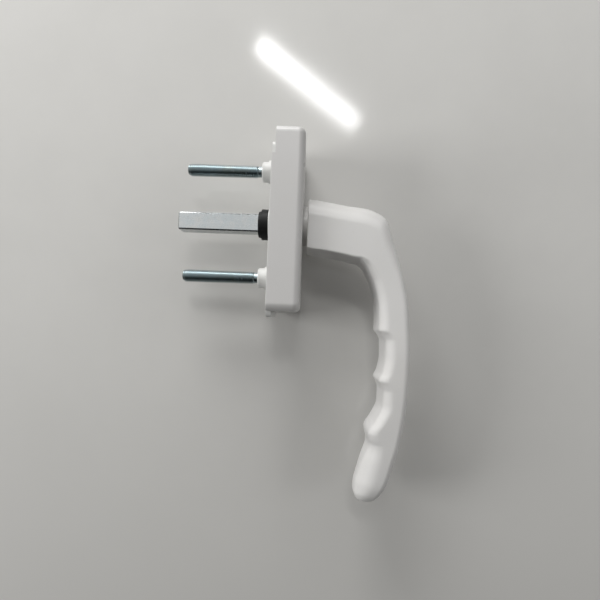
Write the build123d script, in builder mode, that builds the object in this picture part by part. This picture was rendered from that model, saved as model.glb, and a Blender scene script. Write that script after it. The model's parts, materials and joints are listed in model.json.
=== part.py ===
from build123d import *
from math import cos, radians, sin
import os

os.makedirs("parts", exist_ok=True)

# The frame: X runs from the window into the room, Z is up, X = 0 is the mounting face and the
# origin is on the spindle's axis. The lever hangs down.

# Sizes that the window's gear fixes
screw_spacing = 43.0
spindle_size = 7.0
spindle_reach = 37.0
screw_diameter = 5.0
screw_length = 45.0

# Clearances
running_gap = 0.05
fit_gap = 0.1
loose_gap = 0.3

# Cover
cover_length = 69.4
cover_width = 30.0
cover_depth = 12.4
cover_wall = 1.6
cover_round = 3.0
cover_lift = 1.5
cover_rib_length = 6.0
cover_rib_height = 0.25
cover_relief_height = 10.8
cover_relief_depth = 1.3

# Mounting plate and base
plate_thickness = 1.8
plate_end_gap = 1.4
plate_side_gap = 0.5
plate_corner = 1.6
head_gap = 0.4
foot_depth = 1.9
foot_width = 24.0
foot_top = 29.5
foot_bottom = 36.9
foot_corner = 2.0
rear_wall = 1.6
boss_radius = 4.6
boss_step_radius = 4.0
boss_step = 2.0
boss_length = 4.7
boss_chamfer = 0.5
spindle_boss_radius = 6.5
spindle_boss_length = 1.2

# Turning mechanism
spigot_radius = 7.8
spigot_flats = 12.2
spigot_end_radius = 6.0
spigot_end_x = 2.2
bush_wall = 1.15
bush_flange = 1.1
bush_flange_radius = 11.2
disc_radius = 9.2
disc_thickness = 2.9
disc_rear_x = 4.5
notch_depth = 0.6
ball_radius = 1.5
detent_count = 4
detent_angle = 45.0
spring_length = 2.75
spring_wire = 0.4
spring_turns = 4
washer_thickness = 0.5
ledge_x = 3.4
well_radius = 8.0
clip_thickness = 0.9
clip_radius = 7.5
clip_groove_depth = 0.5
clip_opening = 5.0
pin_radius = 1.0
collar_radius = 6.1
collar_thickness = 2.5
collar_sleeve_radius = 5.4
collar_hub_length = 1.2
spindle_edge = 0.5

# Screws
screw_head_radius = 4.65
screw_shank_radius = 2.2
screw_tip = 0.6
drive_span = 4.6
drive_width = 1.0
drive_depth = 1.9

# Lever
neck_width = 18.0
neck_round = 6.0
neck_edge = 0.6
elbow_x = 29.4
elbow_z = -22.3

# Places that follow from the sizes above
plate_front_x = cover_depth - cover_wall - head_gap
plate_rear_x = plate_front_x - plate_thickness
plate_width = cover_width - 2 * cover_wall - 2 * plate_side_gap
plate_length = cover_length - 2 * cover_wall - 2 * plate_end_gap
neck_start_x = cover_depth + cover_lift + loose_gap
bush_rear_x = plate_rear_x - bush_flange
bush_radius = spigot_radius + running_gap + bush_wall
disc_front_x = disc_rear_x + disc_thickness
disc_middle_x = disc_rear_x + disc_thickness / 2
ball_place = disc_radius + running_gap + ball_radius
pocket_width = 2 * (ball_radius + fit_gap)
spring_start = ball_place + ball_radius + running_gap
pocket_end = spring_start + spring_length + fit_gap / 2
socket_size = spindle_size + fit_gap
screw_hole_radius = screw_diameter / 2 + 2 * fit_gap
screw_head_x = plate_front_x - fit_gap
sink_radius = screw_head_radius + 2 * fit_gap
clip_front_x = disc_rear_x - 2 * fit_gap
clip_rear_x = clip_front_x - clip_thickness


def detent_plane(number, distance):
    """The plane across one detent's line, at a distance from the spindle's axis."""
    angle = radians(detent_angle + number * 360 / detent_count)
    outward = (0, cos(angle), sin(angle))
    place = (disc_middle_x, distance * cos(angle), distance * sin(angle))
    return Plane(origin=place, x_dir=(1, 0, 0), z_dir=outward)


def lever_section(plane, inner, outer, half_width, inner_round, outer_round):
    """One cross-section of the lever: a rectangle with its own radii inside and outside."""
    with BuildSketch(plane) as section:
        with BuildLine():
            FilletPolyline(
                (inner, half_width),
                (outer, half_width),
                (outer, -half_width),
                (inner, -half_width),
                radius=[inner_round, outer_round, outer_round, inner_round],
                close=True,
            )
        make_face()
    return section.sketch.faces()[0]


# Lever: neck, shoulder and grip are one loft. The neck's stations are upright planes, the
# elbow's turn about its inner corner and the grip's are level. The grip narrows towards each
# of the three ridges between which the fingers lie.
neck_stations = [
    (neck_start_x, -10.3, 10.4),
    (21.8, -11.2, 9.5),
]
elbow_stations = [
    (0.0, 9.9, 30.6, 9.0, neck_edge, neck_round),
    (15.0, 9.6, 30.7, 9.0, 0.7, 5.8),
    (25.0, 9.9, 30.6, 9.0, 0.9, 5.2),
    (31.0, 10.2, 30.0, 9.0, 1.1, 4.8),
    (36.5, 10.3, 28.2, 9.0, 1.3, 4.4),
    (50.0, 10.3, 24.2, 9.0, 2.0, 3.8),
    (70.5, 10.1, 22.0, 9.0, 2.8, 3.1),
    (90.0, 11.1, 22.5, 9.05, 3.3, 2.7),
]
grip_stations = [
    (-31.0, 42.5, 53.5, 9.3, 3.6, 2.6),
    (-37.6, 42.8, 54.0, 9.5, 3.7, 2.6),
    (-40.2, 42.7, 54.1, 9.6, 3.7, 2.6),
    (-42.0, 44.1, 54.2, 9.7, 3.7, 2.6),
    (-44.3, 45.2, 54.3, 9.8, 3.7, 2.6),
    (-50.3, 45.4, 54.4, 10.0, 3.7, 2.6),
    (-56.1, 44.4, 54.3, 10.0, 3.7, 2.6),
    (-59.1, 43.2, 54.2, 10.0, 3.7, 2.6),
    (-60.9, 44.1, 54.1, 10.0, 3.7, 2.6),
    (-63.3, 44.9, 54.0, 9.95, 3.7, 2.6),
    (-68.5, 44.8, 53.6, 9.8, 3.7, 2.6),
    (-74.2, 42.4, 53.0, 9.6, 3.7, 2.6),
    (-78.7, 39.8, 52.3, 9.4, 3.7, 2.6),
    (-80.8, 40.0, 51.9, 9.3, 3.7, 2.6),
    (-83.2, 40.5, 51.5, 9.2, 3.7, 2.6),
    (-89.3, 38.4, 49.8, 8.9, 3.6, 2.6),
    (-94.9, 36.6, 48.3, 8.5, 3.4, 2.6),
    (-98.7, 35.6, 46.9, 8.1, 3.2, 2.6),
    (-101.6, 35.4, 45.4, 7.3, 2.8, 2.6),
    (-103.6, 36.0, 43.9, 6.1, 2.3, 2.3),
    (-104.8, 37.0, 42.5, 4.5, 1.8, 1.8),
    (-105.3, 38.1, 41.3, 2.9, 1.2, 1.2),
]

lever_sections = []
for station_x, bottom, top in neck_stations:
    station = Plane(origin=(station_x, 0, 0), x_dir=(0, 0, 1), z_dir=(-1, 0, 0))
    lever_sections.append(
        lever_section(station, bottom, top, neck_width / 2, neck_edge, neck_round)
    )
for turn, inner, outer, half_width, inner_round, outer_round in elbow_stations:
    along, up = sin(radians(turn)), cos(radians(turn))
    station = Plane(origin=(elbow_x, 0, elbow_z), x_dir=(along, 0, up), z_dir=(-up, 0, along))
    lever_sections.append(
        lever_section(station, inner, outer, half_width, inner_round, outer_round)
    )
for height, inner, outer, half_width, inner_round, outer_round in grip_stations:
    lever_sections.append(
        lever_section(Plane.XY.offset(height), inner, outer, half_width, inner_round, outer_round)
    )

with BuildPart() as lever:
    loft(sections=lever_sections, ruled=True)
    # Spigot: round in the bearing, square in the disc, round again at its grooved end
    with BuildSketch(Plane.YZ.offset(disc_front_x)):
        Circle(spigot_radius)
    extrude(amount=neck_start_x - disc_front_x)
    with BuildSketch(Plane.YZ.offset(disc_rear_x)):
        Rectangle(spigot_flats, spigot_flats)
        Circle(spigot_radius, mode=Mode.INTERSECT)
    extrude(amount=disc_thickness)
    with BuildSketch(Plane.YZ.offset(spigot_end_x)):
        Circle(spigot_end_radius)
    extrude(amount=disc_rear_x - spigot_end_x)
    with BuildSketch(Plane.YZ.offset(clip_rear_x - running_gap)):
        Circle(spigot_end_radius)
        Circle(spigot_end_radius - clip_groove_depth, mode=Mode.SUBTRACT)
    extrude(amount=clip_thickness + 2 * running_gap, mode=Mode.SUBTRACT)
    with BuildSketch(Plane.YZ.offset(spigot_end_x)):
        Rectangle(socket_size, socket_size)
    extrude(amount=neck_start_x - spigot_end_x, mode=Mode.SUBTRACT)
    with BuildSketch(Plane.XZ.offset(-spigot_flats / 2)):
        with Locations((disc_middle_x, 0)):
            Circle(pin_radius + running_gap)
    extrude(amount=spigot_flats, mode=Mode.SUBTRACT)
lever.part.label = "lever"

# Spindle: square bar with its long edges and its free end broken, drilled for the cross pin
with BuildPart() as spindle:
    with BuildSketch(Plane.YZ.offset(-spindle_reach)):
        Rectangle(spindle_size, spindle_size)
    extrude(amount=spindle_reach + neck_start_x - loose_gap)
    chamfer(spindle.edges().filter_by(Axis.X), spindle_edge)
    chamfer(spindle.faces().sort_by(Axis.X)[0].edges(), spindle_edge)
    with BuildSketch(Plane.XZ.offset(-spindle_size)):
        with Locations((disc_middle_x, 0)):
            Circle(pin_radius + running_gap)
    extrude(amount=2 * spindle_size, mode=Mode.SUBTRACT)
spindle.part.label = "spindle"

with BuildPart() as spindle_pin:
    with BuildSketch(Plane.XZ.offset(-spigot_flats / 2 + fit_gap)):
        with Locations((disc_middle_x, 0)):
            Circle(pin_radius)
    extrude(amount=spigot_flats - 2 * fit_gap)
    chamfer(spindle_pin.edges(), pin_radius / 4)
spindle_pin.part.label = "spindle_pin"

# Index disc: its rim has a rounded notch for each ball
with BuildPart() as index_disc:
    with BuildSketch(Plane.YZ.offset(disc_rear_x)):
        Circle(disc_radius)
        notch_radius = ball_radius + 2 * fit_gap
        notch_place = disc_radius - notch_depth + notch_radius
        with PolarLocations(notch_place, detent_count, start_angle=detent_angle):
            Circle(notch_radius, mode=Mode.SUBTRACT)
        with BuildSketch(mode=Mode.PRIVATE) as disc_hole:
            Rectangle(spigot_flats + fit_gap, spigot_flats + fit_gap)
            Circle(spigot_radius + running_gap, mode=Mode.INTERSECT)
        add(disc_hole.sketch, mode=Mode.SUBTRACT)
    extrude(amount=disc_thickness)
index_disc.part.label = "index_disc"

# Circlip: open ring with two drilled ears
with BuildPart() as circlip:
    with BuildSketch(Plane.YZ.offset(clip_rear_x)):
        Circle(clip_radius)
        Circle(spigot_end_radius - clip_groove_depth + running_gap, mode=Mode.SUBTRACT)
        with Locations((0, -clip_radius)):
            Rectangle(clip_opening, 2 * clip_radius, mode=Mode.SUBTRACT)
    extrude(amount=clip_thickness)
circlip.part.label = "circlip"

# Spindle collar: sleeve in the base, flange and tapered hub outside
with BuildPart() as spindle_collar:
    with BuildSketch(Plane.XZ):
        with BuildLine():
            flange_front_x = -spindle_boss_length - loose_gap
            flange_rear_x = flange_front_x - collar_thickness
            Polyline(
                (spigot_end_x - loose_gap, 0),
                (spigot_end_x - loose_gap, collar_sleeve_radius),
                (flange_front_x, collar_sleeve_radius),
                (flange_front_x, collar_radius),
                (flange_rear_x, collar_radius),
                (flange_rear_x, collar_sleeve_radius),
                (flange_rear_x - collar_hub_length, socket_size * 0.72),
                (flange_rear_x - collar_hub_length, 0),
                close=True,
            )
        make_face()
    revolve(axis=Axis.X)
    with BuildSketch(Plane.YZ.offset(-spindle_reach)):
        Rectangle(socket_size, socket_size)
    extrude(amount=2 * spindle_reach, mode=Mode.SUBTRACT)
spindle_collar.part.label = "spindle_collar"

# Base body: foot plate, housing and the stepped bosses behind it
with BuildPart() as base_body:
    with BuildSketch(Plane.YZ):
        with Locations((0, (foot_top - foot_bottom) / 2)):
            RectangleRounded(foot_width, foot_top + foot_bottom, foot_corner)
    extrude(amount=foot_depth)
    with BuildSketch(Plane.YZ.offset(foot_depth)):
        RectangleRounded(plate_width, plate_length, plate_corner)
    extrude(amount=plate_rear_x - foot_depth)
    with BuildSketch(Plane.YZ.offset(-spindle_boss_length)):
        Circle(spindle_boss_radius)
    extrude(amount=spindle_boss_length)
    for boss_end, radius in ((boss_step, boss_radius), (boss_length, boss_step_radius)):
        with BuildSketch(Plane.YZ.offset(-boss_end)):
            with GridLocations(1, screw_spacing, 1, 2):
                Circle(radius)
        extrude(amount=boss_end)
    boss_rims = base_body.edges().filter_by(GeomType.CIRCLE).group_by(Axis.X)[0]
    chamfer(boss_rims, boss_chamfer)
    # Cavity for the turning pieces, stepped for the well, the washers and the bush's flange
    for floor_x, radius in (
        (rear_wall, well_radius),
        (ledge_x, disc_radius + loose_gap),
        (bush_rear_x, bush_flange_radius + fit_gap),
    ):
        with BuildSketch(Plane.YZ.offset(floor_x)):
            Circle(radius)
        extrude(amount=plate_rear_x - floor_x, mode=Mode.SUBTRACT)
    with BuildSketch(Plane.YZ.offset(-spindle_boss_length)):
        Circle(collar_sleeve_radius + fit_gap)
    extrude(amount=spindle_boss_length + rear_wall, mode=Mode.SUBTRACT)
    # Pockets for the balls and their springs, open towards the plate
    with BuildSketch(Plane.YZ.offset(disc_middle_x - ball_radius - fit_gap)):
        with PolarLocations(0, detent_count, start_angle=detent_angle):
            with Locations((pocket_end / 2, 0)):
                Rectangle(pocket_end, pocket_width)
        Circle(disc_radius, mode=Mode.SUBTRACT)
    extrude(amount=plate_rear_x, mode=Mode.SUBTRACT)
    with Locations(Plane.YZ.offset(plate_front_x)):
        with GridLocations(1, screw_spacing, 1, 2):
            CounterSinkHole(screw_hole_radius, sink_radius, depth=2 * plate_front_x, counter_sink_angle=90)
base_body.part.label = "base_body"

# Mounting plate: steel, with the bearing's bore and the countersinks
with BuildPart() as mounting_plate:
    with BuildSketch(Plane.YZ.offset(plate_rear_x)):
        RectangleRounded(plate_width, plate_length, plate_corner)
        Circle(bush_radius + running_gap, mode=Mode.SUBTRACT)
    extrude(amount=plate_thickness)
    with Locations(Plane.YZ.offset(plate_front_x)):
        with GridLocations(1, screw_spacing, 1, 2):
            CounterSinkHole(screw_hole_radius, sink_radius, depth=2 * plate_thickness, counter_sink_angle=90)
mounting_plate.part.label = "mounting_plate"

with BuildPart() as bearing_bush:
    with BuildSketch(Plane.YZ.offset(bush_rear_x)):
        Circle(bush_flange_radius)
    extrude(amount=bush_flange)
    with BuildSketch(Plane.YZ.offset(plate_rear_x)):
        Circle(bush_radius)
    extrude(amount=plate_thickness)
    with BuildSketch(Plane.YZ.offset(bush_rear_x)):
        Circle(spigot_radius + running_gap)
    extrude(amount=bush_flange + plate_thickness, mode=Mode.SUBTRACT)
bearing_bush.part.label = "bearing_bush"

with BuildPart() as friction_washer:
    with BuildSketch(Plane.YZ.offset(ledge_x)):
        Circle(disc_radius + loose_gap - fit_gap)
        Circle(well_radius + running_gap, mode=Mode.SUBTRACT)
    extrude(amount=washer_thickness)
friction_washer.part.label = "friction_washer"

# Disc spring: a shallow cone between the friction washer and the disc
with BuildPart() as disc_spring:
    with BuildSketch(Plane.XZ):
        with BuildLine():
            spring_rear_x = ledge_x + washer_thickness
            spring_front_x = disc_rear_x - running_gap
            spring_sheet = (spring_front_x - spring_rear_x) / 2
            Polyline(
                (spring_rear_x, well_radius + fit_gap),
                (spring_rear_x + spring_sheet, well_radius + fit_gap),
                (spring_front_x, disc_radius - fit_gap),
                (spring_front_x - spring_sheet, disc_radius - fit_gap),
                close=True,
            )
        make_face()
    revolve(axis=Axis.X)
disc_spring.part.label = "disc_spring"

# Screws: countersunk head with a cross recess, reduced shank, thread's outline, tapered tip
with BuildPart() as screw:
    with BuildSketch(Plane.XZ):
        with BuildLine():
            thread_radius = screw_diameter / 2
            thread_x = -boss_length - loose_gap
            tip_x = screw_head_x - screw_length
            Polyline(
                (screw_head_x, 0),
                (screw_head_x, screw_head_radius),
                (screw_head_x - (screw_head_radius - screw_shank_radius), screw_shank_radius),
                (thread_x, screw_shank_radius),
                (thread_x - (thread_radius - screw_shank_radius), thread_radius),
                (tip_x + screw_tip, thread_radius),
                (tip_x, thread_radius - screw_tip),
                (tip_x, 0),
                close=True,
            )
        make_face()
    revolve(axis=Axis.X)
    with BuildSketch(Plane.YZ.offset(screw_head_x)):
        Rectangle(drive_span, drive_width)
        Rectangle(drive_width, drive_span)
    extrude(amount=-drive_depth, taper=12, mode=Mode.SUBTRACT)
with BuildPart() as mounting_screws:
    with Locations((0, 0, screw_spacing / 2), (0, 0, -screw_spacing / 2)):
        add(screw.part)
mounting_screws.part.label = "mounting_screws"

# Cover: shelled cap with a round hole for the spigot, ribs that grip the plate, a notch for
# the foot's lip at its lower end and a relieved rim at its upper end
with BuildPart() as cover:
    with BuildSketch(Plane.YZ):
        RectangleRounded(cover_width, cover_length, cover_round)
    extrude(amount=cover_depth)
    fillet(cover.faces().sort_by(Axis.X)[-1].edges(), cover_round - loose_gap)
    with BuildSketch(Plane.YZ):
        RectangleRounded(
            cover_width - 2 * cover_wall, cover_length - 2 * cover_wall, cover_round - cover_wall
        )
    extrude(amount=cover_depth - cover_wall, mode=Mode.SUBTRACT)
    for side in (-1, 1):
        with BuildSketch(Plane.YZ.offset(foot_depth)):
            with GridLocations(1, screw_spacing, 1, 2):
                with Locations((side * (cover_width / 2 - cover_wall - cover_rib_height / 2), 0)):
                    Rectangle(cover_rib_height, cover_rib_length)
        extrude(amount=cover_depth - cover_wall - foot_depth)
    with BuildSketch(Plane.YZ.offset(cover_depth - cover_wall)):
        Circle(spigot_radius + loose_gap)
    extrude(amount=cover_wall, mode=Mode.SUBTRACT)
    with BuildSketch(Plane.YZ):
        with Locations((0, -cover_length / 2)):
            Rectangle(foot_width + 2 * loose_gap, 4 * cover_wall)
    extrude(amount=foot_depth + loose_gap, mode=Mode.SUBTRACT)
    with BuildSketch(Plane.YZ):
        with Locations((0, cover_length / 2)):
            Rectangle(cover_width, 2 * cover_relief_height)
    extrude(amount=cover_relief_depth, mode=Mode.SUBTRACT)
cover.part.label = "cover"

pieces = [
    lever,
    spindle,
    spindle_pin,
    index_disc,
    circlip,
    spindle_collar,
    base_body,
    mounting_plate,
    bearing_bush,
    friction_washer,
    disc_spring,
    mounting_screws,
    cover,
]

# Balls and their springs, one pair for each detent
for number in range(detent_count):
    with BuildPart() as detent_ball:
        with Locations(detent_plane(number, ball_place)):
            Sphere(ball_radius)
    detent_ball.part.label = f"detent_ball_{number + 1}"
    pieces.append(detent_ball)
    coil_radius = ball_radius - fit_gap - spring_wire / 2
    coil_length = spring_length - spring_wire
    coil_foot = detent_plane(number, spring_start + spring_wire / 2)
    with BuildPart() as detent_spring:
        with BuildLine():
            coil = Helix(
                pitch=coil_length / spring_turns,
                height=coil_length,
                radius=coil_radius,
                center=coil_foot.origin,
                direction=coil_foot.z_dir,
            )
        with BuildSketch(Plane(origin=coil @ 0, z_dir=coil % 0)):
            RegularPolygon(spring_wire / 2, 6)
        sweep(is_frenet=True)
    detent_spring.part.label = f"detent_spring_{number + 1}"
    pieces.append(detent_spring)

for piece in pieces:
    export_step(piece.part, f"parts/{piece.part.label}.step")
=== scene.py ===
import json
from math import cos, pi, radians, sin

import bmesh
import bpy
from bpy.props import FloatProperty, FloatVectorProperty, IntProperty, PointerProperty
from mathutils import Matrix, Vector


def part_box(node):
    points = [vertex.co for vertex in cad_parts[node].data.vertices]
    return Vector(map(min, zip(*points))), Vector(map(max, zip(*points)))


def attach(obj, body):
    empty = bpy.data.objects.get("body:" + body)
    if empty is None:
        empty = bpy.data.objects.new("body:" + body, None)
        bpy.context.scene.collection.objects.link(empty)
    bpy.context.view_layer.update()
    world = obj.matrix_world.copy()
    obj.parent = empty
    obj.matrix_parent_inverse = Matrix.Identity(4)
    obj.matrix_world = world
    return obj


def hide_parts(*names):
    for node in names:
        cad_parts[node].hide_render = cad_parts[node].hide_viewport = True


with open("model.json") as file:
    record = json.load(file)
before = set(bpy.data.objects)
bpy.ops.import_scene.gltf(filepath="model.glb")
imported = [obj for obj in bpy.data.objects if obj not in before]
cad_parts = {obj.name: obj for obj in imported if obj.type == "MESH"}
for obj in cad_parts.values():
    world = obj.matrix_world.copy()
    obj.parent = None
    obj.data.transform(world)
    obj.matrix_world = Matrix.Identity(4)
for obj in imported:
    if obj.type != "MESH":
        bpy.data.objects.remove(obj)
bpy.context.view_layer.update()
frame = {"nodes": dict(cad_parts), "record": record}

bl_info = {
    "name": "Window handle",
    "version": (1, 0, 0),
    "blender": (4, 5, 0),
    "location": "View3D > Sidebar > Handle",
    "description": "Dresses the window handle: cast lever, cover, threaded screws and finishes",
    "category": "Object",
}

MM = 0.001
MERGE_DISTANCE = 0.002 * MM
CUT_TOLERANCE = 0.001 * MM


class LeverSettings(bpy.types.PropertyGroup):
    edge_break: FloatProperty(
        name="Edge break",
        description="Width of the broken edge where the neck ends before the rose",
        default=0.3 * MM,
        min=0.0,
        unit="LENGTH",
        subtype="DISTANCE",
    )
    rings_between: IntProperty(
        name="Rings between stations",
        description="How many cross-sections are put between two neighbouring stations",
        default=5,
        min=1,
        max=10,
    )
    corner_segments: IntProperty(
        name="Corner segments",
        description="Segments in each rounded corner of a cross-section",
        default=9,
        min=3,
        max=16,
    )
    colour: FloatVectorProperty(
        name="Coating",
        description="Colour of the white coating on the lever",
        default=(0.80, 0.79, 0.77, 1.0),
        size=4,
        min=0.0,
        max=1.0,
        subtype="COLOR",
    )


class RoseSettings(bpy.types.PropertyGroup):
    wall: FloatProperty(
        name="Cover wall",
        description="Thickness of the cover's wall",
        default=1.6 * MM,
        min=0.0,
        unit="LENGTH",
        subtype="DISTANCE",
    )
    corner_radius: FloatProperty(
        name="Corner radius",
        description="Rounding of the cover's four upright corners",
        default=3.0 * MM,
        min=0.0,
        unit="LENGTH",
        subtype="DISTANCE",
    )
    front_radius: FloatProperty(
        name="Front radius",
        description="Rounding between the cover's front and its sides",
        default=2.7 * MM,
        min=0.0,
        unit="LENGTH",
        subtype="DISTANCE",
    )
    hole_radius: FloatProperty(
        name="Spigot hole",
        description="Radius of the hole in the cover's front",
        default=8.1 * MM,
        min=0.0,
        unit="LENGTH",
        subtype="DISTANCE",
    )
    colour: FloatVectorProperty(
        name="Cover plastic",
        description="Colour of the moulded cover",
        default=(0.70, 0.69, 0.675, 1.0),
        size=4,
        min=0.0,
        max=1.0,
        subtype="COLOR",
    )
    base_colour: FloatVectorProperty(
        name="Base plastic",
        description="Colour of the moulded base under the cover",
        default=(0.76, 0.76, 0.74, 1.0),
        size=4,
        min=0.0,
        max=1.0,
        subtype="COLOR",
    )


class ScrewSettings(bpy.types.PropertyGroup):
    pitch: FloatProperty(
        name="Pitch",
        description="Advance of the thread in one turn",
        default=0.8 * MM,
        min=0.0001,
        unit="LENGTH",
        subtype="DISTANCE",
    )
    crest_radius: FloatProperty(
        name="Crest radius",
        description="Outer radius of the thread",
        default=2.5 * MM,
        min=0.0,
        unit="LENGTH",
        subtype="DISTANCE",
    )
    root_radius: FloatProperty(
        name="Root radius",
        description="Radius at the bottom of the thread",
        default=2.05 * MM,
        min=0.0,
        unit="LENGTH",
        subtype="DISTANCE",
    )
    steps: IntProperty(
        name="Steps a turn",
        description="Divisions of one turn of the thread",
        default=24,
        min=8,
        max=64,
    )
    colour: FloatVectorProperty(
        name="Zinc",
        description="Colour of the zinc plating",
        default=(0.56, 0.58, 0.58, 1.0),
        size=4,
        min=0.0,
        max=1.0,
        subtype="COLOR",
    )


class StageSettings(bpy.types.PropertyGroup):
    table_colour: FloatVectorProperty(
        name="Table",
        description="Colour of the pale table behind the handle",
        default=(0.71, 0.70, 0.67, 1.0),
        size=4,
        min=0.0,
        max=1.0,
        subtype="COLOR",
    )
    thrown_light: FloatProperty(
        name="Thrown light",
        description="Strength of the light that the table throws back on the handle",
        default=0.19,
        min=0.0,
        max=1.0,
    )
    table_gap: FloatProperty(
        name="Table gap",
        description="Distance of the table from the spindle's axis",
        default=15.3 * MM,
        min=0.0,
        unit="LENGTH",
        subtype="DISTANCE",
    )
    key_power: FloatProperty(
        name="Key light",
        description="Power of the large low lamp beyond the upper end",
        default=2.9,
        min=0.0,
        unit="POWER",
    )
    window_power: FloatProperty(
        name="Window light",
        description="Power of the lamp on the left",
        default=3.8,
        min=0.0,
        unit="POWER",
    )
    fill_power: FloatProperty(
        name="Fill light",
        description="Power of the weaker lamp on the right",
        default=1.0,
        min=0.0,
        unit="POWER",
    )
    tube_power: FloatProperty(
        name="Tube light",
        description="Power of the tube that throws the shadows and is reflected in the table",
        default=1.45,
        min=0.0,
        unit="POWER",
    )
    room_light: FloatProperty(
        name="Room light",
        description="Strength of the light from the walls and the ceiling",
        default=0.36,
        min=0.0,
    )


SETTINGS = (
    ("lever_settings", LeverSettings),
    ("rose_settings", RoseSettings),
    ("screw_settings", ScrewSettings),
    ("stage_settings", StageSettings),
)


def new_group(name, inputs, outputs):
    """An empty shader node group with named sockets, and its input and output nodes."""
    tree = bpy.data.node_groups.new(name, "ShaderNodeTree")
    for label, kind, value in inputs:
        socket = tree.interface.new_socket(label, in_out="INPUT", socket_type=kind)
        socket.default_value = value
    for label, kind in outputs:
        tree.interface.new_socket(label, in_out="OUTPUT", socket_type=kind)
    return tree, tree.nodes.new("NodeGroupInput"), tree.nodes.new("NodeGroupOutput")


def math_node(tree, operation, *values):
    node = tree.nodes.new("ShaderNodeMath")
    node.operation = operation
    for place, value in enumerate(values):
        if hasattr(value, "is_output"):
            tree.links.new(value, node.inputs[place])
        else:
            node.inputs[place].default_value = value
    return node.outputs[0]


def noise(tree, place, scale, detail=3.0, roughness=0.5):
    node = tree.nodes.new("ShaderNodeTexNoise")
    node.inputs["Detail"].default_value = detail
    node.inputs["Roughness"].default_value = roughness
    tree.links.new(place, node.inputs["Vector"])
    if hasattr(scale, "is_output"):
        tree.links.new(scale, node.inputs["Scale"])
    else:
        node.inputs["Scale"].default_value = scale
    return node.outputs["Fac"]


def ramp(tree, value, low, high, low_out=0.0, high_out=1.0):
    node = tree.nodes.new("ShaderNodeMapRange")
    node.inputs["From Min"].default_value = low
    node.inputs["From Max"].default_value = high
    node.inputs["To Min"].default_value = low_out
    node.inputs["To Max"].default_value = high_out
    tree.links.new(value, node.inputs["Value"])
    return node.outputs["Result"]


def tint(tree, mask, colour, other):
    """Colour where the mask is 0, other where it is 1."""
    node = tree.nodes.new("ShaderNodeMix")
    node.data_type = "RGBA"
    tree.links.new(mask, node.inputs["Factor"])
    for socket, value in ((node.inputs["A"], colour), (node.inputs["B"], other)):
        if hasattr(value, "is_output"):
            tree.links.new(value, socket)
        else:
            socket.default_value = value
    return node.outputs["Result"]


# Colours of the dust on a skin and of the marks on a plating
DUST_TINT = (0.90, 0.89, 0.86, 1.0)
BLUE_PATCH = (0.34, 0.46, 0.52, 1.0)
STRAW_PATCH = (0.62, 0.58, 0.44, 1.0)
DULL_SPOT = (0.20, 0.20, 0.19, 1.0)


def coated_skin_group():
    """Fine ripple of a sprayed or moulded skin, with faint clouds and specks of dust."""
    tree, start, end = new_group(
        "Coated skin",
        (
            ("Colour", "NodeSocketColor", (0.8, 0.8, 0.8, 1.0)),
            ("Ripple Scale", "NodeSocketFloat", 900.0),
            ("Cloud Scale", "NodeSocketFloat", 60.0),
            ("Cloud Strength", "NodeSocketFloat", 0.05),
            ("Roughness", "NodeSocketFloat", 0.35),
        ),
        (
            ("Colour", "NodeSocketColor"),
            ("Roughness", "NodeSocketFloat"),
            ("Height", "NodeSocketFloat"),
        ),
    )
    place = tree.nodes.new("ShaderNodeTexCoord").outputs["Object"]
    cloud = noise(tree, place, start.outputs["Cloud Scale"], 4.0, 0.55)
    speck_scale = math_node(tree, "MULTIPLY", start.outputs["Ripple Scale"], 1.7)
    dust = ramp(tree, noise(tree, place, speck_scale, 1.0), 0.70, 0.78)
    darker = tree.nodes.new("ShaderNodeMix")
    darker.data_type = "RGBA"
    darker.blend_type = "MULTIPLY"
    darker.inputs["B"].default_value = DUST_TINT
    clouds = ramp(tree, cloud, 0.35, 0.7)
    strength = math_node(tree, "MULTIPLY", clouds, start.outputs["Cloud Strength"])
    strength = math_node(tree, "ADD", strength, math_node(tree, "MULTIPLY", dust, 0.25))
    tree.links.new(strength, darker.inputs["Factor"])
    tree.links.new(start.outputs["Colour"], darker.inputs["A"])
    tree.links.new(darker.outputs["Result"], end.inputs["Colour"])
    uneven = ramp(tree, cloud, 0.3, 0.7, -0.04, 0.06)
    rough = math_node(tree, "ADD", start.outputs["Roughness"], uneven)
    tree.links.new(rough, end.inputs["Roughness"])
    tree.links.new(noise(tree, place, start.outputs["Ripple Scale"], 2.0), end.inputs["Height"])
    return tree


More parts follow.
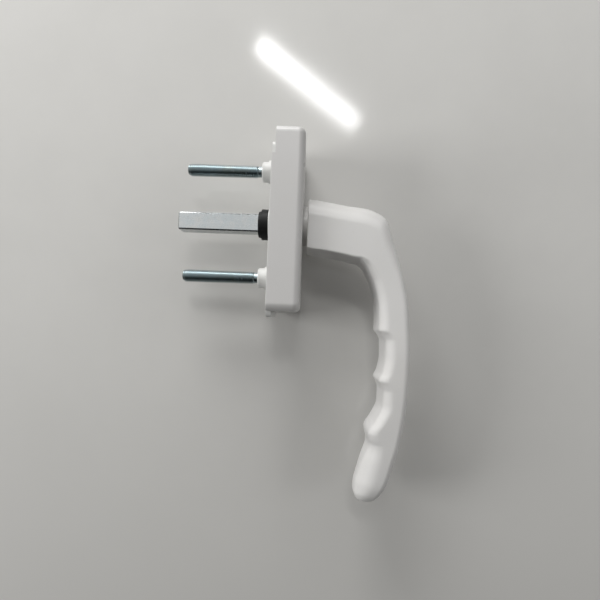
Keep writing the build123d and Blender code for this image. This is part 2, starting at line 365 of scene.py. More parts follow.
def plated_steel_group():
    """Drawn or rolled steel under zinc: streaks along X, patches of blue and straw, dull spots."""
    tree, start, end = new_group(
        "Plated steel",
        (
            ("Colour", "NodeSocketColor", (0.5, 0.5, 0.5, 1.0)),
            ("Streak Scale", "NodeSocketFloat", 700.0),
            ("Dullness", "NodeSocketFloat", 0.3),
            ("Spots", "NodeSocketFloat", 0.3),
        ),
        (
            ("Colour", "NodeSocketColor"),
            ("Roughness", "NodeSocketFloat"),
            ("Height", "NodeSocketFloat"),
        ),
    )
    place = tree.nodes.new("ShaderNodeTexCoord").outputs["Object"]
    stretch = tree.nodes.new("ShaderNodeMapping")
    stretch.inputs["Scale"].default_value = (0.06, 1.0, 1.0)
    tree.links.new(place, stretch.inputs["Vector"])
    streak = noise(tree, stretch.outputs["Vector"], start.outputs["Streak Scale"], 4.0, 0.6)
    patch = noise(tree, place, 260.0, 3.0, 0.6)
    spot = noise(tree, place, 1100.0, 2.0, 0.6)
    blue_mask = ramp(tree, patch, 0.4, 0.62, 0.0, 0.16)
    straw_mask = ramp(tree, patch, 0.42, 0.3, 0.0, 0.12)
    dull_mask = math_node(tree, "MULTIPLY", ramp(tree, spot, 0.58, 0.7), start.outputs["Spots"])
    blue = tint(tree, blue_mask, start.outputs["Colour"], BLUE_PATCH)
    straw = tint(tree, straw_mask, blue, STRAW_PATCH)
    tree.links.new(tint(tree, dull_mask, straw, DULL_SPOT), end.inputs["Colour"])
    uneven = ramp(tree, streak, 0.3, 0.7, -0.05, 0.08)
    rough = math_node(tree, "ADD", start.outputs["Dullness"], uneven)
    rough = math_node(tree, "ADD", rough, math_node(tree, "MULTIPLY", dull_mask, 0.3))
    tree.links.new(rough, end.inputs["Roughness"])
    tree.links.new(streak, end.inputs["Height"])
    return tree


def new_material(name):
    material = bpy.data.materials.new(name)
    material.use_nodes = True
    return material, material.node_tree, material.node_tree.nodes["Principled BSDF"]


def finish_from_group(name, group, values, relief, metallic=0.0, specular=0.5, coat=0.0):
    """A material with colour, roughness and relief from a group; relief is strength and depth."""
    material, tree, shader = new_material(name)
    skin = tree.nodes.new("ShaderNodeGroup")
    skin.node_tree = group
    for label, value in values.items():
        skin.inputs[label].default_value = value
    tree.links.new(skin.outputs["Colour"], shader.inputs["Base Color"])
    tree.links.new(skin.outputs["Roughness"], shader.inputs["Roughness"])
    bump = tree.nodes.new("ShaderNodeBump")
    bump.inputs["Strength"].default_value, bump.inputs["Distance"].default_value = relief
    tree.links.new(skin.outputs["Height"], bump.inputs["Height"])
    tree.links.new(bump.outputs["Normal"], shader.inputs["Normal"])
    shader.inputs["Metallic"].default_value = metallic
    shader.inputs["Specular IOR Level"].default_value = specular
    shader.inputs["Coat Weight"].default_value = coat
    shader.inputs["Coat Roughness"].default_value = 0.30
    return material


def dress(obj, material):
    obj.data.materials.clear()
    obj.data.materials.append(material)


def finish_piece(bm, name, body, material, nodes, sharp_angle=35.0):
    """Turns a bmesh into a smooth-shaded piece that rides on a body and replaces CAD nodes."""
    bmesh.ops.remove_doubles(bm, verts=bm.verts, dist=MERGE_DISTANCE)
    bmesh.ops.recalc_face_normals(bm, faces=bm.faces)
    mesh = bpy.data.meshes.new(name)
    bm.to_mesh(mesh)
    bm.free()
    mesh.shade_smooth()
    mesh.set_sharp_from_angle(angle=radians(sharp_angle))
    obj = bpy.data.objects.new(name, mesh)
    bpy.context.scene.collection.objects.link(obj)
    dress(obj, material)
    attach(obj, body)
    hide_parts(*nodes)
    return obj


def even_normals(obj):
    """Lets the large flat faces decide the shading next to a rounding."""
    modifier = obj.modifiers.new("Even normals", "WEIGHTED_NORMAL")
    modifier.keep_sharp = True
    modifier.weight = 100


def bevel(bm, geom, width, segments, affect="EDGES"):
    """Rounds the edges or corners in geom to a radius."""
    bmesh.ops.bevel(
        bm,
        geom=geom,
        offset=width,
        offset_type="OFFSET",
        segments=segments,
        profile=0.5,
        affect=affect,
        material=-1,
    )


def box_matrix(middle, size):
    """Places a cube of size 1 as a box."""
    return Matrix.Translation(middle) @ Matrix.Diagonal((*size, 1.0))


def cut(bm, faces, place, normal, clear_outer=False):
    """Cuts the faces along a plane."""
    edges = {edge for face in faces for edge in face.edges}
    verts = {vert for face in faces for vert in face.verts}
    return bmesh.ops.bisect_plane(
        bm,
        geom=[*verts, *edges, *faces],
        dist=CUT_TOLERANCE,
        plane_co=place,
        plane_no=normal,
        clear_outer=clear_outer,
    )


# Stations of the lever in millimetres. Each cross-section is a rectangle between an inner end,
# where the fingers lie, and an outer end, with its own rounding at either end.
NECK_HALF_WIDTH = 9.0
NECK_ROUNDS = (0.6, 8.2)
NECK_END_ROUNDS = (0.5, 8.0)

# x, lower z, upper z
NECK_STATIONS = (
    (14.2, -10.3, 10.4),
    (21.8, -11.2, 9.5),
)

# Centre of the elbow as x and z, then its stations: turn about the centre in degrees, inner and
# outer radius, half width, two roundings
ELBOW = (29.4, -22.3)
ELBOW_STATIONS = (
    (0.0, 9.9, 30.6, 9.0, 0.6, 8.2),
    (15.0, 9.6, 30.7, 9.0, 0.7, 8.2),
    (25.0, 9.9, 30.6, 9.0, 0.9, 8.0),
    (31.0, 10.2, 30.0, 9.0, 1.1, 7.6),
    (36.5, 10.3, 28.2, 9.0, 1.3, 7.0),
    (50.0, 10.3, 24.2, 9.0, 2.0, 5.4),
    (70.5, 10.1, 22.0, 9.0, 2.8, 3.8),
    (90.0, 11.1, 22.5, 9.05, 3.3, 2.7),
)

# z, inner and outer x, half width, two roundings
GRIP_STATIONS = (
    (-31.0, 42.5, 53.5, 9.3, 3.6, 2.6),
    (-37.6, 42.8, 54.0, 9.5, 3.7, 2.6),
    (-40.2, 42.7, 54.1, 9.6, 3.7, 2.6),
    (-42.0, 44.1, 54.2, 9.7, 3.7, 2.6),
    (-44.3, 45.2, 54.3, 9.8, 3.7, 2.6),
    (-50.3, 45.4, 54.4, 10.0, 3.7, 2.6),
    (-56.1, 44.4, 54.3, 10.0, 3.7, 2.6),
    (-59.1, 43.2, 54.2, 10.0, 3.7, 2.6),
    (-60.9, 44.1, 54.1, 10.0, 3.7, 2.6),
    (-63.3, 44.9, 54.0, 9.95, 3.7, 2.6),
    (-68.5, 44.8, 53.6, 9.8, 3.7, 2.6),
    (-74.2, 42.4, 53.0, 9.6, 3.7, 2.6),
    (-78.7, 39.8, 52.3, 9.4, 3.8, 2.6),
    (-80.8, 40.0, 51.9, 9.3, 4.2, 2.6),
    (-83.2, 40.5, 51.5, 9.2, 5.0, 2.6),
    (-89.3, 38.4, 49.8, 8.9, 6.6, 2.6),
    (-94.9, 36.6, 48.3, 8.5, 7.2, 2.6),
    (-98.7, 35.6, 46.9, 8.1, 7.0, 2.6),
    (-101.6, 35.4, 45.4, 7.3, 6.0, 2.6),
    (-103.6, 36.0, 43.9, 6.1, 4.4, 2.3),
    (-104.8, 37.0, 42.5, 4.5, 2.6, 1.8),
    (-105.3, 38.1, 41.3, 2.9, 1.5, 1.2),
)


def lever_stations(edge_break):
    """All stations as rows of inner x, inner z, outer x, outer z, half width, two roundings."""
    end_x, bottom, top = NECK_STATIONS[0]
    half_width = NECK_HALF_WIDTH - edge_break
    rows = [(end_x, bottom + edge_break, end_x, top - edge_break, half_width, *NECK_END_ROUNDS)]
    for x, bottom, top in NECK_STATIONS:
        start = x + (edge_break if x == end_x else 0.0)
        rows.append((start, bottom, start, top, NECK_HALF_WIDTH, *NECK_ROUNDS))
    for turn, inner, outer, half_width, inner_round, outer_round in ELBOW_STATIONS:
        along, up = sin(radians(turn)), cos(radians(turn))
        rows.append(
            (
                ELBOW[0] + inner * along,
                ELBOW[1] + inner * up,
                ELBOW[0] + outer * along,
                ELBOW[1] + outer * up,
                half_width,
                inner_round,
                outer_round,
            )
        )
    for height, inner, outer, half_width, inner_round, outer_round in GRIP_STATIONS:
        rows.append((inner, height, outer, height, half_width, inner_round, outer_round))
    return rows


def slopes(places, values):
    """Slopes at the stations for a cubic that never swings past its stations."""
    chords = [
        (values[i + 1] - values[i]) / (places[i + 1] - places[i]) for i in range(len(values) - 1)
    ]
    result = [chords[0]]
    for before, after in zip(chords, chords[1:]):
        result.append(0.0 if before * after <= 0 else 2 * before * after / (before + after))
    result.append(chords[-1])
    return result


# Least distance between two neighbouring stations along the lever, in millimetres
LEAST_STEP = 0.2


def smooth_rows(rows, between):
    """The stations and the cross-sections that run smoothly between them."""
    places = [0.0]
    for before, after in zip(rows, rows[1:]):
        middle_before = Vector(((before[0] + before[2]) / 2, (before[1] + before[3]) / 2))
        middle_after = Vector(((after[0] + after[2]) / 2, (after[1] + after[3]) / 2))
        places.append(places[-1] + max((middle_after - middle_before).length, LEAST_STEP))
    columns = list(zip(*rows))
    tangents = [slopes(places, column) for column in columns]
    result = []
    for i in range(len(rows) - 1):
        length = places[i + 1] - places[i]
        count = between if i > 0 else 1
        for k in range(count):
            t = k / count
            row = []
            for column, tangent in zip(columns, tangents):
                row.append(
                    (2 * t**3 - 3 * t**2 + 1) * column[i]
                    + (t**3 - 2 * t**2 + t) * length * tangent[i]
                    + (3 * t**2 - 2 * t**3) * column[i + 1]
                    + (t**3 - t**2) * length * tangent[i + 1]
                )
            result.append(row)
    result.append(list(rows[-1]))
    return result


def cross_section(row, segments):
    """The points round one cross-section: a rectangle whose corners are bevelled."""
    inner_x, inner_z, outer_x, outer_z, half_width, inner_round, outer_round = (
        value * MM for value in row
    )
    section = bmesh.new()
    corners = [
        section.verts.new((inner_x, half_width, inner_z)),
        section.verts.new((inner_x, -half_width, inner_z)),
        section.verts.new((outer_x, -half_width, outer_z)),
        section.verts.new((outer_x, half_width, outer_z)),
    ]
    section.faces.new(corners)
    bevel(section, corners[:2], inner_round, segments, "VERTICES")
    bevel(section, corners[2:], outer_round, segments, "VERTICES")
    points = [vert.co.copy() for vert in ordered_loop(section.edges)]
    section.free()
    return points


def ordered_loop(edges):
    """The vertices of a closed loop of edges, in order."""
    links = {}
    for edge in edges:
        for vert in edge.verts:
            links.setdefault(vert, []).append(edge.other_vert(vert))
    first = next(iter(links))
    loop, before, here = [first], None, first
    while True:
        ahead = [vert for vert in links[here] if vert is not before][0]
        if ahead is first:
            return loop
        loop.append(ahead)
        before, here = here, ahead


# Where the lamps point, and their place, width, height and the line along which the width lies
LAMP_TARGET = (0.01, 0.0, -0.03)
LAMPS = (
    ("Key lamp", (-0.17, -0.21, 0.60), 0.36, 0.24, (1.0, 0.0, 0.0)),
    ("Window lamp", (-0.85, -0.36, -0.06), 0.30, 0.36, (1.0, 0.0, 0.0)),
    ("Fill lamp", (0.80, -0.42, 0.02), 0.30, 0.36, (1.0, 0.0, 0.0)),
    ("Tube lamp", (0.0015, -0.985, 0.67), 0.366, 0.05, (0.281, 0.0, -0.234)),
)
LAMPS_WITHOUT_REFLECTION = ("Window lamp", "Fill lamp")

TABLE_HALF_SIZE = 1.6

CAMERA_PLACE = (0.0147, -0.1589, -0.0376)
CAMERA_YAW, CAMERA_PITCH, CAMERA_ROLL = radians(0.86), radians(2.87), radians(2.21)
CAMERA_LENS, CAMERA_SENSOR = 24.0, 36.0


class HANDLE_OT_stage(bpy.types.Operator):
    """Sets up the table, the lamps, the world and the camera"""

    bl_idname = "handle.stage"
    bl_label = "Stage"

    def execute(self, context):
        settings = context.scene.stage_settings
        scene = context.scene
        scene.view_settings.view_transform = "Standard"

        bm = bmesh.new()
        upright = Matrix.Rotation(pi / 2, 4, "X")
        bmesh.ops.create_grid(
            bm,
            x_segments=1,
            y_segments=1,
            size=TABLE_HALF_SIZE,
            matrix=Matrix.Translation((0.0, settings.table_gap, 0.0)) @ upright,
        )
        mesh = bpy.data.meshes.new("table_top")
        bm.to_mesh(mesh)
        bm.free()
        table = bpy.data.objects.new("table_top", mesh)
        scene.collection.objects.link(table)
        dress(table, table_material(settings))

        scene.world = room_world(settings.room_light)

        powers = (
            settings.key_power,
            settings.window_power,
            settings.fill_power,
            settings.tube_power,
        )
        for (name, place, width, height, along), power in zip(LAMPS, powers):
            lamp = add_lamp(name, place, width, height, power, along)
            lamp.visible_glossy = name not in LAMPS_WITHOUT_REFLECTION

        data = bpy.data.cameras.new("Photo camera")
        data.lens = CAMERA_LENS
        data.sensor_width = CAMERA_SENSOR
        data.clip_start = 0.01
        data.clip_end = 10.0
        data.dof.use_dof = False
        camera = bpy.data.objects.new("Photo camera", data)
        scene.collection.objects.link(camera)
        turn = (
            Matrix.Rotation(CAMERA_YAW, 4, "Z")
            @ Matrix.Rotation(pi / 2 + CAMERA_PITCH, 4, "X")
            @ Matrix.Rotation(CAMERA_ROLL, 4, "Z")
        )
        camera.matrix_world = Matrix.Translation(CAMERA_PLACE) @ turn
        scene.camera = camera
        return {"FINISHED"}


# Least brightness of the room, its brightness where the camera sees it, how much brighter it is
# in reflections, least brightness of its ends in reflections, and the share left at the camera
ROOM_LEAST = 0.02
ROOM_SEEN = 0.55
ROOM_REFLECTED_GAIN = 2.4
ROOM_ENDS_REFLECTED = 0.4
CAMERA_SIDE_SHADE = 0.3


def room_world(strength):
    """A room that is bright above and at both ends, and dark below and behind the camera."""
    world = bpy.data.worlds.new("Room")
    world.use_nodes = True
    tree = world.node_tree
    split = tree.nodes.new("ShaderNodeSeparateXYZ")
    place = tree.nodes.new("ShaderNodeTexCoord").outputs["Generated"]
    tree.links.new(place, split.inputs["Vector"])
    right, away, up = split.outputs
    over = math_node(tree, "MULTIPLY", away, -1.0)
    walls = ramp(tree, over, 0.1, 0.5)
    path = tree.nodes.new("ShaderNodeLightPath").outputs
    shiny, seen = path["Is Glossy Ray"], path["Is Camera Ray"]
    shade = ramp(tree, over, 0.75, 0.95, 1.0, CAMERA_SIDE_SHADE)
    viewer = math_node(tree, "MAXIMUM", shade, shiny)
    wide = math_node(tree, "ABSOLUTE", right)
    lean = math_node(tree, "MULTIPLY_ADD", right, -0.10, 0.35)
    spread = math_node(tree, "MULTIPLY_ADD", wide, 0.55, lean)
    side = math_node(tree, "MAXIMUM", math_node(tree, "MULTIPLY_ADD", up, 0.75, spread), 0.0)
    light = math_node(tree, "MULTIPLY", math_node(tree, "MULTIPLY", walls, viewer), side)
    gain = math_node(tree, "MULTIPLY_ADD", shiny, ROOM_REFLECTED_GAIN, 1.0)
    light = math_node(tree, "MULTIPLY", light, gain)
    light = math_node(tree, "MULTIPLY_ADD", light, strength, ROOM_LEAST)
    background = math_node(tree, "MULTIPLY", seen, ROOM_SEEN)
    light = math_node(tree, "MAXIMUM", light, background)
    ends = ramp(tree, wide, 0.3, 0.8, 0.0, ROOM_ENDS_REFLECTED)
    light = math_node(tree, "MAXIMUM", light, math_node(tree, "MULTIPLY", shiny, ends))
    tree.links.new(light, tree.nodes["Background"].inputs["Strength"])
    tree.nodes["Background"].inputs["Color"].default_value = (1.0, 1.0, 1.0, 1.0)
    return world


def add_lamp(name, place, width, height, power, along):
    """A rectangular lamp that shines at the handle, its width as near as can be to a line."""
    data = bpy.data.lights.new(name, "AREA")
    data.shape = "RECTANGLE"
    data.size = width
    data.size_y = height
    data.energy = power
    lamp = bpy.data.objects.new(name, data)
    bpy.context.scene.collection.objects.link(lamp)
    back = (Vector(place) - Vector(LAMP_TARGET)).normalized()
    up = back.cross(Vector(along)).normalized()
    turn = Matrix((up.cross(back), up, back)).transposed().to_4x4()
    lamp.matrix_world = Matrix.Translation(place) @ turn
    return lamp


def darkened(colour, share):
    """The colour at a share of its brightness."""
    return (*(share * value for value in colour[:3]), 1.0)


def table_material(settings):
    """Pale varnished table top, see-through from behind, with painted shade towards its lower end,
    that throws back an even, weak light as a painted glow.
    """
    material, tree, shader = new_material("Pale table")
    place = tree.nodes.new("ShaderNodeTexCoord").outputs["Object"]
    smear = noise(tree, place, 18.0, 5.0, 0.6)
    colour = tuple(settings.table_colour)
    clouds = tint(tree, ramp(tree, smear, 0.35, 0.7), colour, darkened(colour, 0.95))
    height = tree.nodes.new("ShaderNodeSeparateXYZ")
    tree.links.new(place, height.inputs["Vector"])
    # Painted shade: the table darkens towards its lower end, standing in for the lamps' light
    # falling off there.
    painted_falloff_shade = ramp(tree, height.outputs["Z"], -0.2, 0.0)
    surface = tint(tree, painted_falloff_shade, darkened(colour, 0.88), clouds)
    tree.links.new(surface, shader.inputs["Base Color"])
    tree.links.new(ramp(tree, smear, 0.3, 0.7, 0.08, 0.12), shader.inputs["Roughness"])

    path = tree.nodes.new("ShaderNodeLightPath").outputs
    shown = math_node(tree, "MAXIMUM", path["Is Camera Ray"], path["Is Glossy Ray"])
    shown = math_node(tree, "MAXIMUM", shown, path["Is Transmission Ray"])
    # Painted light: for all but camera, glossy and transmission rays the table glows evenly at the
    # thrown-light strength instead of reflecting the lamps.
    even = tree.nodes.new("ShaderNodeEmission")
    even.inputs["Strength"].default_value = settings.thrown_light
    material.cycles.emission_sampling = "NONE"
    clear = tree.nodes.new("ShaderNodeBsdfTransparent")
    behind = tree.nodes.new("ShaderNodeNewGeometry").outputs["Backfacing"]
    thrown = tree.nodes.new("ShaderNodeMixShader")
    choose = tree.nodes.new("ShaderNodeMixShader")
    for mix, mask, first, second in (
        (thrown, shown, even.outputs["Emission"], shader.outputs["BSDF"]),
        (choose, behind, thrown.outputs["Shader"], clear.outputs["BSDF"]),
    ):
        tree.links.new(mask, mix.inputs["Fac"])
        tree.links.new(first, mix.inputs[1])
        tree.links.new(second, mix.inputs[2])
    tree.links.new(choose.outputs["Shader"], tree.nodes["Material Output"].inputs["Surface"])
    return material


class HANDLE_OT_lever(bpy.types.Operator):
    """Makes the cast lever with its neck, finger-grooved grip and spigot"""

    bl_idname = "handle.lever"
    bl_label = "Lever"

    def execute(self, context):
        settings = context.scene.lever_settings
        bm = bmesh.new()
        loops = []
        stations = lever_stations(settings.edge_break / MM)
        for row in smooth_rows(stations, settings.rings_between):
            points = cross_section(row, settings.corner_segments)
            verts = [bm.verts.new(point) for point in points]
            loops.append([bm.edges.new((verts[i - 1], verts[i])) for i in range(len(verts))])
        for first, second in zip(loops, loops[1:]):
            bmesh.ops.bridge_loops(bm, edges=first + second)
        for end in (loops[0], loops[-1]):
            bmesh.ops.contextual_create(bm, geom=end)
        cast = set(bm.faces)
        add_spigot(bm)
        for face in bm.faces:
            face.material_index = 0 if face in cast else 1
        obj = finish_piece(
            bm,
            "lever_casting",
            "handle",
            bpy.data.materials["White coating"],
            ("lever",),
            sharp_angle=40.0,
        )
        # The spigot gets the near-black casting finish, painted shade for the gap between the
        # cover and the neck.
        obj.data.materials.append(bpy.data.materials["Casting darkened as shade"])
        even_normals(obj)
        return {"FINISHED"}


def add_turned(bm, outline, centre, steps=64):
    """A solid turned about a line along X; the outline is x and radius in millimetres."""
    verts = [bm.verts.new((x * MM, centre[1] + radius * MM, centre[2])) for x, radius in outline]
    edges = [bm.edges.new(pair) for pair in zip(verts, verts[1:])]
    bmesh.ops.spin(
        bm,
        geom=verts + edges,
        cent=centre,
        axis=(1.0, 0.0, 0.0),
        dvec=(0.0, 0.0, 0.0),
        angle=2 * pi,
        steps=steps,
        use_merge=True,
        use_duplicate=False,
    )


# x and radius of the spigot, then the middle and the size of the square for the disc
SPIGOT_OUTLINE = (
    (2.2, 0.0),
    (2.2, 5.8),
    (2.4, 6.0),
    (3.35, 6.0),
    (3.35, 5.5),
    (4.35, 5.5),
    (4.35, 6.0),
    (7.4, 6.0),
    (7.4, 7.8),
    (14.3, 7.8),
    (14.3, 0.0),
)
SQUARE_MIDDLE_X = 5.95
SQUARE_SIZE = (2.9, 12.2, 12.2)


def add_spigot(bm):
    """The turned spigot and its square for the disc."""
    add_turned(bm, SPIGOT_OUTLINE, (0.0, 0.0, 0.0))
    size = [value * MM for value in SQUARE_SIZE]
    matrix = box_matrix((SQUARE_MIDDLE_X * MM, 0.0, 0.0), size)
    bmesh.ops.create_cube(bm, size=1.0, matrix=matrix)


# Depth and lower end of the relief in the cover's rear rim at the upper end, and depth and half
# width of the notch for the base's lip at the lower end
RELIEF_X, RELIEF_Z = 1.3 * MM, 23.9 * MM
NOTCH_X, NOTCH_Y = 2.2 * MM, 12.4 * MM
RIM_SOFTENING = 0.2 * MM
ROUNDING_SEGMENTS = 10
HOLE_SEGMENTS = 64


class HANDLE_OT_rose(bpy.types.Operator):
    """Makes the cover of the rose"""

    bl_idname = "handle.rose"
    bl_label = "Rose cover"

    def execute(self, context):
        settings = context.scene.rose_settings
        low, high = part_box("cover")
        bm = bmesh.new()
        add_open_block(bm, low, high, settings)
        pierce_front(bm, high.x, settings.hole_radius)
        cut_rear_rim(bm, low, high)
        obj = finish_piece(
            bm,
            "cover_shell",
            "cap",
            bpy.data.materials["White cover plastic"],
            ("cover",),
        )
        wall = obj.modifiers.new("Wall", "SOLIDIFY")
        wall.thickness = settings.wall
        wall.offset = -1.0
        wall.use_even_offset = True
        soften = obj.modifiers.new("Soft rims", "BEVEL")
        soften.width = RIM_SOFTENING
        soften.segments = 2
        soften.limit_method = "ANGLE"
        soften.angle_limit = radians(50)
        even_normals(obj)
        return {"FINISHED"}


def add_open_block(bm, low, high, settings):
    """The cover's outside, open at the rear, with rounded corners and a rounded front."""
    size = high - low
    bmesh.ops.create_cube(bm, size=1.0, matrix=box_matrix((high + low) / 2, size))
    upright = [
        edge for edge in bm.edges if abs(edge.verts[0].co.x - edge.verts[1].co.x) > size.x / 2
    ]
    bevel(bm, upright, settings.corner_radius, ROUNDING_SEGMENTS)
    back = [face for face in bm.faces if face.calc_center_median().x < low.x + MM / 10]
    bmesh.ops.delete(bm, geom=back, context="FACES_ONLY")
    front = [face for face in bm.faces if face.calc_center_median().x > high.x - MM / 10][0]
    bevel(bm, list(front.edges), settings.front_radius, ROUNDING_SEGMENTS)


def pierce_front(bm, front_x, radius):
    """Fills the front again round the hole for the spigot."""
    facing = (face for face in bm.faces if abs(face.normal.x) > 0.99)
    front = max(facing, key=lambda face: face.calc_area())
    outer = list(front.edges)
    bmesh.ops.delete(bm, geom=[front], context="FACES_ONLY")
    hole = bmesh.ops.create_circle(
        bm,
        cap_ends=False,
        segments=HOLE_SEGMENTS,
        radius=radius,
        matrix=Matrix.Translation((front_x, 0.0, 0.0)) @ Matrix.Rotation(pi / 2, 4, "Y"),
    )
    inner = list({edge for vert in hole["verts"] for edge in vert.link_edges})
    bmesh.ops.triangle_fill(bm, use_beauty=True, use_dissolve=False, edges=outer + inner)


def cut_rear_rim(bm, low, high):
    """Relieves the rear rim at the upper end and notches it at the lower end."""
    for place, normal, reach in (
        ((RELIEF_X, 0, 0), (1, 0, 0), high.x),
        ((NOTCH_X, 0, 0), (1, 0, 0), high.x),
        ((0, 0, RELIEF_Z), (0, 0, 1), RELIEF_X),
    ):
        faces = [face for face in bm.faces if face.calc_center_median().x < reach]
        cut(bm, faces, place, normal)
    gone = []
    for face in bm.faces:
        centre = face.calc_center_median()
        relieved = centre.z > RELIEF_Z and centre.x < RELIEF_X
        notched = centre.z < low.z + 2 * MM and centre.x < NOTCH_X and abs(centre.y) < NOTCH_Y
        if relieved or notched:
            gone.append(face)
    bmesh.ops.delete(bm, geom=gone, context="FACES")


# Heights of the two screws, where their plain shank is cut off and where the thread's core ends
SCREW_HEIGHTS = (21.5 * MM, -21.5 * MM)
SHANK_CUT_X = -4.9 * MM
CORE_END_X = -4.7 * MM

# Tip chamfer in millimetres, distance of the ridge's ends from those of the core, depth of its
# foot in the core, and length of its run-out in turns
TIP_CHAMFER = 0.35
RIDGE_START, RIDGE_END = 0.25 * MM, 0.15 * MM
RIDGE_FOOT = 0.08 * MM
RUN_OUT = 1.3

# Profile of the ridge: where its two crest points and its far foot lie, as shares of the pitch
CREST_START, CREST_END, FOOT_END = 0.36, 0.50, 0.86


class HANDLE_OT_screws(bpy.types.Operator):
    """Cuts the threads of the two fixing screws"""

    bl_idname = "handle.screws"
    bl_label = "Fixing screws"

    def execute(self, context):
        settings = context.scene.screw_settings
        bm = bmesh.new()
        bm.from_mesh(frame["nodes"]["mounting_screws"].data)
        bmesh.ops.remove_doubles(bm, verts=bm.verts, dist=MERGE_DISTANCE)
        result = cut(bm, list(bm.faces), (SHANK_CUT_X, 0, 0), (-1, 0, 0), clear_outer=True)
        rims = [edge for edge in result["geom_cut"] if isinstance(edge, bmesh.types.BMEdge)]
        bmesh.ops.holes_fill(bm, edges=rims, sides=0)
        low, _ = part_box("mounting_screws")
        for height in SCREW_HEIGHTS:
            add_core(bm, settings, low.x, height)
            add_ridge(bm, settings, low.x, height)
        # The screws get the darker blue zinc, whose darkness is partly painted shade.
        finish_piece(
            bm,
            "threaded_screws",
            "base",
            bpy.data.materials["Blue zinc darkened as shade"],
            ("mounting_screws",),
            sharp_angle=30.0,
        )
        return {"FINISHED"}


def add_core(bm, settings, tip_x, height):
    """The thread's core with its chamfered tip."""
    tip, end, root = tip_x / MM, CORE_END_X / MM, settings.root_radius / MM
    outline = (
        (tip, 0.0),
        (tip, root - TIP_CHAMFER),
        (tip + TIP_CHAMFER, root),
        (end, root),
        (end, 0.0),
    )
    add_turned(bm, outline, (0.0, 0.0, height), settings.steps)


def add_ridge(bm, settings, tip_x, height):
    """The helical ridge, which runs out into the core at both ends."""
    crest, pitch = settings.crest_radius, settings.pitch
    foot = settings.root_radius - RIDGE_FOOT
    start = tip_x + RIDGE_START
    turns = int((CORE_END_X - RIDGE_END - start) / pitch) - 1
    outline = (
        (0.0, foot),
        (CREST_START * pitch, crest),
        (CREST_END * pitch, crest),
        (FOOT_END * pitch, foot),
    )
    before = set(bm.verts)
    verts = [bm.verts.new((start + along, radius, height)) for along, radius in outline]
    edges = [bm.edges.new((verts[i - 1], verts[i])) for i in range(len(verts))]
    bmesh.ops.spin(
        bm,
        geom=verts + edges,
        cent=(0.0, 0.0, height),
        axis=(1.0, 0.0, 0.0),
        dvec=(pitch / settings.steps, 0.0, 0.0),
        angle=2 * pi * turns,
        steps=settings.steps * turns,
        use_merge=False,
        use_duplicate=False,
    )
    ridge = {vert for vert in bm.verts if vert not in before}
    end = start + pitch * (turns + FOOT_END)
    for vert in ridge:
        lead = min(vert.co.x - start, end - vert.co.x) / pitch
        rise = max(0.0, min(1.0, lead / RUN_OUT))
        spoke = Vector((0.0, vert.co.y, vert.co.z - height))
        spoke.length = min(spoke.length, foot + (crest - foot) * rise)
        vert.co.y, vert.co.z = spoke.y, height + spoke.z
    ends = [edge for edge in bm.edges if edge.is_boundary and edge.verts[0] in ridge]
    bmesh.ops.holes_fill(bm, edges=ends, sides=0)


# Coated and moulded finishes: scale of the ripple, scale and strength of the clouds, roughness,
# then strength and depth of the relief
SKIN_LABELS = ("Ripple Scale", "Cloud Scale", "Cloud Strength", "Roughness")
SKINS = {
    "White coating": (700.0, 55.0, 0.25, 0.38, 0.12, 0.05 * MM),
    "White cover plastic": (1400.0, 70.0, 0.20, 0.30, 0.06, 0.04 * MM),
    "White base plastic": (2200.0, 90.0, 0.30, 0.45, 0.15, 0.05 * MM),
    "Natural plastic": (2600.0, 150.0, 0.30, 0.42, 0.10, 0.04 * MM),
    "Black plastic": (2400.0, 180.0, 0.40, 0.50, 0.15, 0.05 * MM),
}

# Metal finishes: scale of the streaks, dullness, spots, then strength and depth of the relief
METAL_LABELS = ("Streak Scale", "Dullness", "Spots")
METALS = {
    "Zinc plating": (900.0, 0.24, 0.18, 0.10, 0.03 * MM),
    "Blue zinc darkened as shade": (900.0, 0.20, 0.15, 0.06, 0.03 * MM),
    "Casting darkened as shade": (600.0, 0.38, 0.30, 0.10, 0.03 * MM),
    "Spring steel": (1500.0, 0.22, 0.15, 0.06, 0.02 * MM),
}

COLOURS = {
    "Natural plastic": (0.74, 0.71, 0.60, 1.0),
    "Black plastic": (0.008, 0.008, 0.008, 1.0),
    # Partly painted shade: the screws' blue zinc is darker than the other zinc plating, standing
    # in for the dark reflections and shade on their lower sides; its blue tint is the plating's
    # own.
    "Blue zinc darkened as shade": (0.27, 0.32, 0.33, 1.0),
    # Painted shade: the casting is coloured near black so that the spigot reads as shaded in the
    # gap between the cover and the neck.
    "Casting darkened as shade": (0.09, 0.09, 0.09, 1.0),
    "Spring steel": (0.36, 0.37, 0.38, 1.0),
}
EXTRA_GLOSS = {
    "White coating": {"coat": 0.6},
    "Black plastic": {"specular": 0.2},
}
FINISH_OF_SLOT = {
    "white_moulding": "White base plastic",
    "natural_plastic": "Natural plastic",
    "black_plastic": "Black plastic",
    "zinc_plated_steel": "Zinc plating",
    "spring_steel": "Spring steel",
}


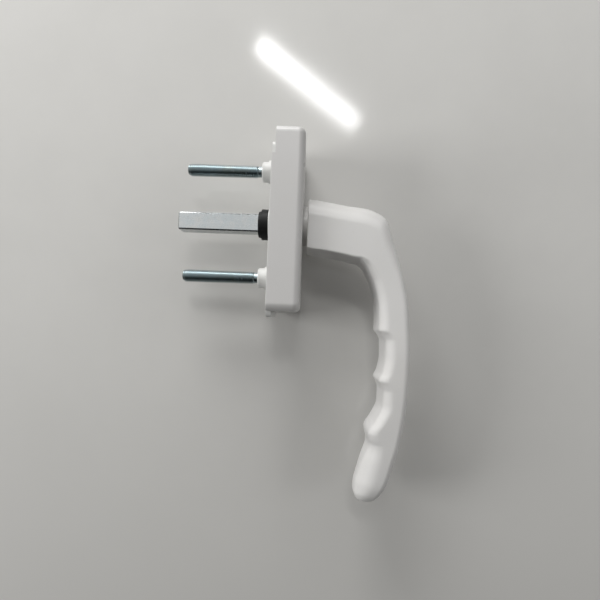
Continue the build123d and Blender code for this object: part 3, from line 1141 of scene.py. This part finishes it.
class HANDLE_OT_finishes(bpy.types.Operator):
    """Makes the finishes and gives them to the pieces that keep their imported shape"""

    bl_idname = "handle.finishes"
    bl_label = "Finishes"

    def execute(self, context):
        scene = context.scene
        colours = {
            "White coating": scene.lever_settings.colour,
            "White cover plastic": scene.rose_settings.colour,
            "White base plastic": scene.rose_settings.base_colour,
            "Zinc plating": scene.screw_settings.colour,
            **COLOURS,
        }
        skin, steel = coated_skin_group(), plated_steel_group()
        for group, labels, finishes, metallic in (
            (skin, SKIN_LABELS, SKINS, 0.0),
            (steel, METAL_LABELS, METALS, 1.0),
        ):
            for name, (*values, strength, depth) in finishes.items():
                finish_from_group(
                    name,
                    group,
                    {"Colour": colours[name], **dict(zip(labels, values))},
                    (strength, depth),
                    metallic,
                    **EXTRA_GLOSS.get(name, {}),
                )
        for part in frame["record"]["subparts"]:
            finish = FINISH_OF_SLOT.get(part["material_slot"])
            if finish is not None:
                dress(frame["nodes"][part["node"]], bpy.data.materials[finish])
        return {"FINISHED"}


class HANDLE_PT_panel(bpy.types.Panel):
    """Lists the handle's settings and its operators"""

    bl_label = "Window handle"
    bl_idname = "HANDLE_PT_panel"
    bl_space_type = "VIEW_3D"
    bl_region_type = "UI"
    bl_category = "Handle"

    def draw(self, context):
        for name, group in SETTINGS:
            box = self.layout.box()
            settings = getattr(context.scene, name)
            for prop in group.__annotations__:
                box.prop(settings, prop)
        for operator in OPERATORS:
            self.layout.operator(operator.bl_idname)


OPERATORS = (
    HANDLE_OT_finishes,
    HANDLE_OT_lever,
    HANDLE_OT_rose,
    HANDLE_OT_screws,
    HANDLE_OT_stage,
)


def register():
    for name, group in SETTINGS:
        bpy.utils.register_class(group)
        setattr(bpy.types.Scene, name, PointerProperty(type=group))
    for operator in OPERATORS:
        bpy.utils.register_class(operator)
    bpy.utils.register_class(HANDLE_PT_panel)


def unregister():
    bpy.utils.unregister_class(HANDLE_PT_panel)
    for operator in reversed(OPERATORS):
        bpy.utils.unregister_class(operator)
    for name, group in reversed(SETTINGS):
        delattr(bpy.types.Scene, name)
        bpy.utils.unregister_class(group)


def main():
    register()
    bpy.ops.handle.finishes()
    bpy.ops.handle.lever()
    bpy.ops.handle.rose()
    bpy.ops.handle.screws()
    bpy.ops.handle.stage()


if __name__ == "__main__":
    main()
